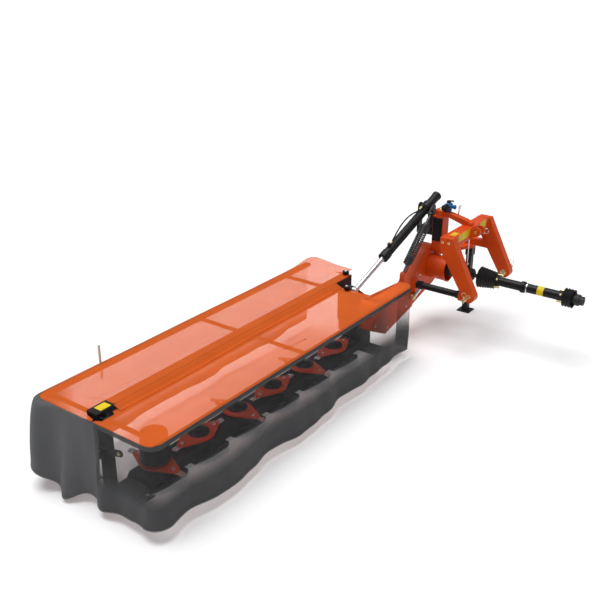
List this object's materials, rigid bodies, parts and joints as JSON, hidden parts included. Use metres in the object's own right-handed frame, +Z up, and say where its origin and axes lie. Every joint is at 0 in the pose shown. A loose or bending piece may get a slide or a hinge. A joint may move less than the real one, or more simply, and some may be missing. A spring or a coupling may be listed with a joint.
{
  "type": "mounted disc mower",
  "caption": "Rear-mounted disc mower: headstock with lower pins, swinging belt arm, folding cutterbar with oval discs under a canvas guard, lift cylinder and drive shaft.",
  "frame": {"origin": "centre of the bounding box at ground level", "axes": "+X from the outer end to the headstock, -Y the direction of travel, +Z up"},
  "size_m": [4.055, 2.1463, 1.135],
  "materials": {
    "orange_paint": "gloss paint",
    "black_paint": "satin paint",
    "black_plastic": "moulded",
    "bright_steel": "ground",
    "zinc": "yellow zinc plate",
    "cast_dark": "oiled",
    "canopy_fabric": "coated canvas",
    "skirt_fabric": "coated canvas",
    "wood": "bare"
  },
  "bodies": {
    "headstock": {"headstock_beam": "orange_paint", "headstock_legs": "orange_paint", "lower_link_pins": "zinc", "top_link_pin": "bright_steel", "swing_bracket": "orange_paint", "upper_brace": "orange_paint", "breakaway_rod": "black_paint", "pto_hook": "bright_steel", "stand_sleeve": "black_paint"},
    "stand": {"parking_stand": "bright_steel"},
    "arm": {"belt_arm": "orange_paint", "spring_lug": "orange_paint", "input_guard": "orange_paint", "king_post": "black_paint", "trunnion_bracket": "black_paint", "balance_spring": "black_paint"},
    "input_drive": {"input_yoke": "cast_dark"},
    "shaft_guard": {"guard_bell_rear": "black_plastic", "guard_tube": "black_plastic", "guard_bell_front": "black_plastic"},
    "drive_shaft": {"drive_tube": "bright_steel", "tractor_yoke": "cast_dark"},
    "lift_barrel": {"lift_barrel": "black_paint", "lift_hose": "black_plastic"},
    "lift_rod": {"lift_rod": "bright_steel"},
    "mower_unit": {"cutterbar": "black_paint", "skids": "black_paint", "gearbox": "black_paint", "carrier": "black_paint", "inner_shoe": "black_paint", "outer_shoe": "black_paint", "outer_post": "black_paint", "outer_bracket": "black_paint", "main_beam": "black_paint", "rear_rail": "black_paint", "rear_ribs": "black_paint", "canopy_rear": "canopy_fabric", "skirt_rear": "skirt_fabric", "swath_stick": "wood"},
    "front_guard": {"front_frame": "black_paint", "canopy_front": "canopy_fabric", "skirt_front": "skirt_fabric"},
    "rotor_1": {"disc_1": "orange_paint", "knives_1": "bright_steel", "outer_drum": "black_plastic"},
    "rotor_2": {"disc_2": "orange_paint", "knives_2": "bright_steel", "cap_2": "black_plastic"},
    "rotor_3": {"disc_3": "orange_paint", "knives_3": "bright_steel", "cap_3": "black_plastic"},
    "rotor_4": {"disc_4": "orange_paint", "knives_4": "bright_steel", "cap_4": "black_plastic"},
    "rotor_5": {"disc_5": "orange_paint", "knives_5": "bright_steel", "cap_5": "black_plastic"},
    "rotor_6": {"disc_6": "orange_paint", "knives_6": "bright_steel", "cap_6": "black_plastic"}
  },
  "joints": [
    {"name": "stand_slide", "type": "slide", "parent": "headstock", "child": "stand", "axis": [0, 0, 1], "range_m": [0, 0.4]},
    {"name": "breakaway", "type": "hinge", "parent": "headstock", "child": "arm", "pos_m": [1.5925, 0.22885, 0.672], "axis": [0, 0, 1], "range_deg": [-20, 0]},
    {"name": "mower_fold", "type": "hinge", "parent": "arm", "child": "mower_unit", "pos_m": [0.7825, 0.52685, 0.4], "axis": [0, 1, 0], "range_deg": [-15, 90]},
    {"name": "guard_lid", "type": "hinge", "parent": "mower_unit", "child": "front_guard", "pos_m": [-0.5775, 0.52185, 0.6017], "axis": [1, 0, 0], "range_deg": [-95, 0]},
    {"name": "lift_swing", "type": "hinge", "parent": "arm", "child": "lift_barrel", "pos_m": [1.5895, 0.36685, 1.029], "axis": [0, 1, 0], "range_deg": [-14, 14]},
    {"name": "lift_extend", "type": "slide", "parent": "lift_barrel", "child": "lift_rod", "axis": [0.9041, -0.0731, 0.421], "range_m": [-0.06, 0.324]},
    {"name": "shaft_yaw", "type": "hinge", "parent": "arm", "child": "shaft_guard", "pos_m": [1.5525, -0.20815, 0.53], "axis": [0, 0, 1], "range_deg": [0, 20]},
    {"name": "shaft_spin", "type": "hinge", "parent": "shaft_guard", "child": "drive_shaft", "pos_m": [1.5525, -0.20815, 0.53], "axis": [0, 1, 0], "continuous": true},
    {"name": "input_spin", "type": "hinge", "parent": "arm", "child": "input_drive", "pos_m": [1.5525, -0.20815, 0.53], "axis": [0, 1, 0], "continuous": true},
    {"name": "rotor_1_spin", "type": "hinge", "parent": "mower_unit", "child": "rotor_1", "pos_m": [-1.5775, 0.52685, 0.1083], "axis": [0, 0, 1], "continuous": true},
    {"name": "rotor_2_spin", "type": "hinge", "parent": "mower_unit", "child": "rotor_2", "pos_m": [-1.1775, 0.52685, 0.1083], "axis": [0, 0, 1], "continuous": true},
    {"name": "rotor_3_spin", "type": "hinge", "parent": "mower_unit", "child": "rotor_3", "pos_m": [-0.7775, 0.52685, 0.1083], "axis": [0, 0, 1], "continuous": true},
    {"name": "rotor_4_spin", "type": "hinge", "parent": "mower_unit", "child": "rotor_4", "pos_m": [-0.3775, 0.52685, 0.1083], "axis": [0, 0, 1], "continuous": true},
    {"name": "rotor_5_spin", "type": "hinge", "parent": "mower_unit", "child": "rotor_5", "pos_m": [0.0225, 0.52685, 0.1083], "axis": [0, 0, 1], "continuous": true},
    {"name": "rotor_6_spin", "type": "hinge", "parent": "mower_unit", "child": "rotor_6", "pos_m": [0.4225, 0.52685, 0.1083], "axis": [0, 0, 1], "continuous": true}
  ],
  "couplings": [
    {"joint": "lift_swing", "follows": "mower_fold", "ratio": -0.11049},
    {"joint": "lift_extend", "follows": "mower_fold", "m_per_rad": 0.19968},
    {"joint": "shaft_yaw", "follows": "breakaway", "ratio": -1},
    {"joint": "input_spin", "follows": "rotor_1_spin", "ratio": 0.18},
    {"joint": "shaft_spin", "follows": "rotor_1_spin", "ratio": 0.18},
    {"joint": "rotor_2_spin", "follows": "rotor_1_spin", "ratio": -1},
    {"joint": "rotor_3_spin", "follows": "rotor_1_spin", "ratio": 1},
    {"joint": "rotor_4_spin", "follows": "rotor_1_spin", "ratio": -1},
    {"joint": "rotor_5_spin", "follows": "rotor_1_spin", "ratio": 1},
    {"joint": "rotor_6_spin", "follows": "rotor_1_spin", "ratio": -1}
  ]
}
